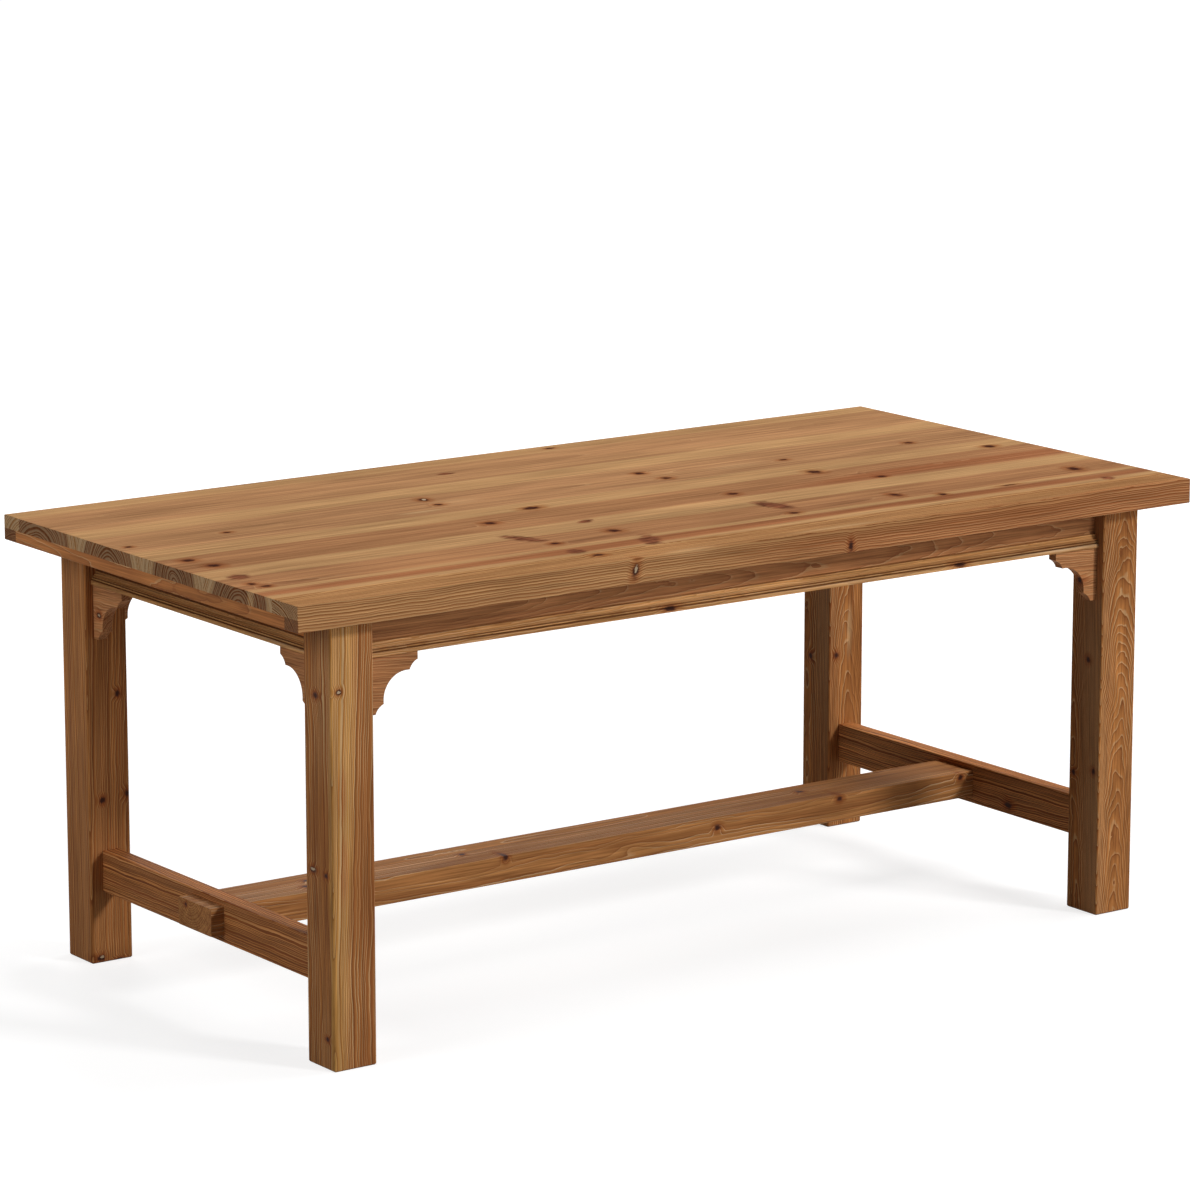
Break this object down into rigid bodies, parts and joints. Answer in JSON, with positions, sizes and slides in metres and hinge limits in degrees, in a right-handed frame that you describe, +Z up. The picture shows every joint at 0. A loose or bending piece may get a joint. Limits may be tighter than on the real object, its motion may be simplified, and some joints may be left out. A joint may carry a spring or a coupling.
{
  "type": "farmhouse dining table",
  "caption": "Rectangular farmhouse dining table of stained pine with a boarded top, square legs, moulded aprons, shaped corner brackets and a through-tenoned centre stretcher.",
  "frame": {"origin": "on the floor, under the middle of the top", "axes": "+X along the table, +Y across it towards the back, +Z up"},
  "size_m": [1.8, 0.9, 0.755],
  "materials": {
    "stained_pine_top": "waxed, satin",
    "stained_pine_legs": "waxed, satin",
    "stained_pine_frame": "waxed, satin",
    "plain_pine": "planed, unfinished",
    "zinc_steel": "zinc plated"
  },
  "bodies": {
    "root": {"top_board_1": "stained_pine_top", "top_board_2": "stained_pine_top", "top_board_3": "stained_pine_top", "top_board_4": "stained_pine_top", "top_board_5": "stained_pine_top", "top_board_6": "stained_pine_top", "edge_strip_front": "stained_pine_top", "edge_strip_back": "stained_pine_top", "edge_strip_left": "stained_pine_top", "edge_strip_right": "stained_pine_top", "leg_front_left": "stained_pine_legs", "leg_front_right": "stained_pine_legs", "leg_back_left": "stained_pine_legs", "leg_back_right": "stained_pine_legs", "apron_front": "stained_pine_frame", "apron_back": "stained_pine_frame", "apron_left": "stained_pine_frame", "apron_right": "stained_pine_frame", "apron_moulding_front": "stained_pine_frame", "apron_moulding_back": "stained_pine_frame", "apron_moulding_left": "stained_pine_frame", "apron_moulding_right": "stained_pine_frame", "bracket_front_left_long": "stained_pine_frame", "bracket_front_left_end": "stained_pine_frame", "bracket_front_right_long": "stained_pine_frame", "bracket_front_right_end": "stained_pine_frame", "bracket_back_left_long": "stained_pine_frame", "bracket_back_left_end": "stained_pine_frame", "bracket_back_right_long": "stained_pine_frame", "bracket_back_right_end": "stained_pine_frame", "end_stretcher_left": "stained_pine_frame", "end_stretcher_right": "stained_pine_frame", "centre_stretcher": "stained_pine_frame", "cross_batten_left": "plain_pine", "cross_batten_right": "plain_pine", "corner_block_front_left": "plain_pine", "corner_block_front_right": "plain_pine", "corner_block_back_left": "plain_pine", "corner_block_back_right": "plain_pine", "bracket_dowels": "plain_pine", "top_buttons": "plain_pine", "batten_screws": "zinc_steel", "button_screws": "zinc_steel", "corner_block_screws": "zinc_steel", "stretcher_screws": "zinc_steel", "hanger_bolts": "zinc_steel", "hanger_washers": "zinc_steel", "hanger_nuts": "zinc_steel"}
  },
  "joints": []
}
